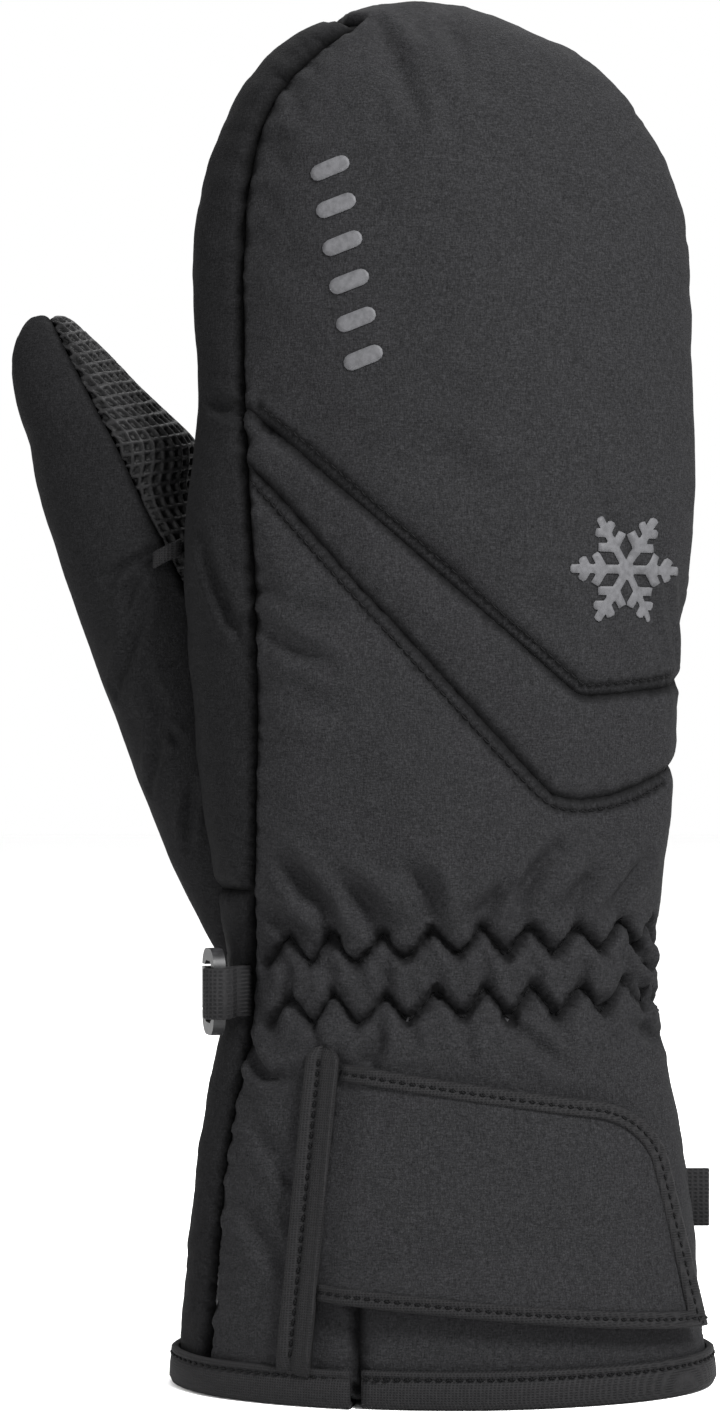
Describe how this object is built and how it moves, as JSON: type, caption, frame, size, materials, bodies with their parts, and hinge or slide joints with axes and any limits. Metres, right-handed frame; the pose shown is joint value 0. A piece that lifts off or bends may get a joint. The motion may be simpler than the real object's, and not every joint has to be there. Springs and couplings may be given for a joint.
{
  "type": "ski mitten",
  "caption": "Right-hand insulated ski mitten with a gathered wrist, grip thumb and palm, hook-and-loop cuff strap and a swivelling snap hook.",
  "frame": {"origin": "centre of the cuff opening, on the plane of the hem that the mitten stands on", "axes": "+Z from the hem to the fingertips, -Y the back of the hand, +Y the palm, -X the thumb side"},
  "size_m": [0.1436, 0.0669, 0.2762],
  "materials": {
    "softshell": "matt woven softshell",
    "softshell_dark": "matt woven softshell, darker",
    "grip": "embossed synthetic grip leather, slightly shiny",
    "membrane": "translucent film",
    "wadding": "polyester wadding",
    "fleece": "brushed fleece",
    "elastic": "knitted elastic",
    "binding": "woven binding tape",
    "webbing": "woven webbing",
    "hook_and_loop": "hook and loop tape",
    "print": "satin grey transfer film",
    "label": "woven satin label",
    "hook": "moulded acetal"
  },
  "bodies": {
    "mitten": {"back_panel_upper": "softshell", "back_panel_stripe": "softshell", "back_panel_lower": "softshell", "index_gusset": "softshell_dark", "palm_panel": "grip", "cuff_palm_panel": "softshell_dark", "thumb_saddle": "softshell_dark", "membrane_hand": "membrane", "wrist_elastic": "elastic", "back_wadding": "wadding", "palm_wadding": "wadding", "hand_lining": "fleece", "cuff_pleat": "binding", "cuff_wadding": "wadding", "cuff_lining": "fleece", "hem_binding": "binding", "strap_root_tape": "binding", "loop_patch": "hook_and_loop", "transfer_bars": "print", "transfer_snowflake": "print", "side_label": "label", "hook_webbing_loop": "webbing"},
    "thumb": {"thumb_back_panel": "softshell_dark", "thumb_grip_panel": "grip", "thumb_membrane": "membrane", "thumb_wadding": "wadding", "thumb_lining": "fleece"},
    "closure_strap": {"strap_face_panel": "softshell", "strap_backing": "softshell_dark", "strap_binding": "binding", "strap_hook_patch": "hook_and_loop"},
    "snap_hook": {"hook_frame": "hook", "hook_gate_pin": "hook"},
    "hook_gate": {"hook_gate": "hook"}
  },
  "joints": [
    {"name": "strap_peel", "type": "hinge", "parent": "mitten", "child": "closure_strap", "pos_m": [-0.02325, -0.02795, 0.043], "axis": [-0.1162, -0.0723, -0.9906], "range_deg": [0, 150]},
    {"name": "thumb_flex", "type": "hinge", "parent": "mitten", "child": "thumb", "pos_m": [-0.065, 0.018, 0.166], "axis": [0, 1, 0], "range_deg": [-15, 10], "stiffness_Nm_per_rad": 0.05},
    {"name": "hook_swivel", "type": "hinge", "parent": "mitten", "child": "snap_hook", "pos_m": [-0.0445, -0.015, 0.0788], "axis": [0, 0, 1], "range_deg": [0, 120]},
    {"name": "gate_open", "type": "hinge", "parent": "snap_hook", "child": "hook_gate", "pos_m": [-0.04665, -0.00667, 0.0743], "axis": [0.9684, 0.2496, 0], "range_deg": [0, 25], "stiffness_Nm_per_rad": 0.002}
  ]
}
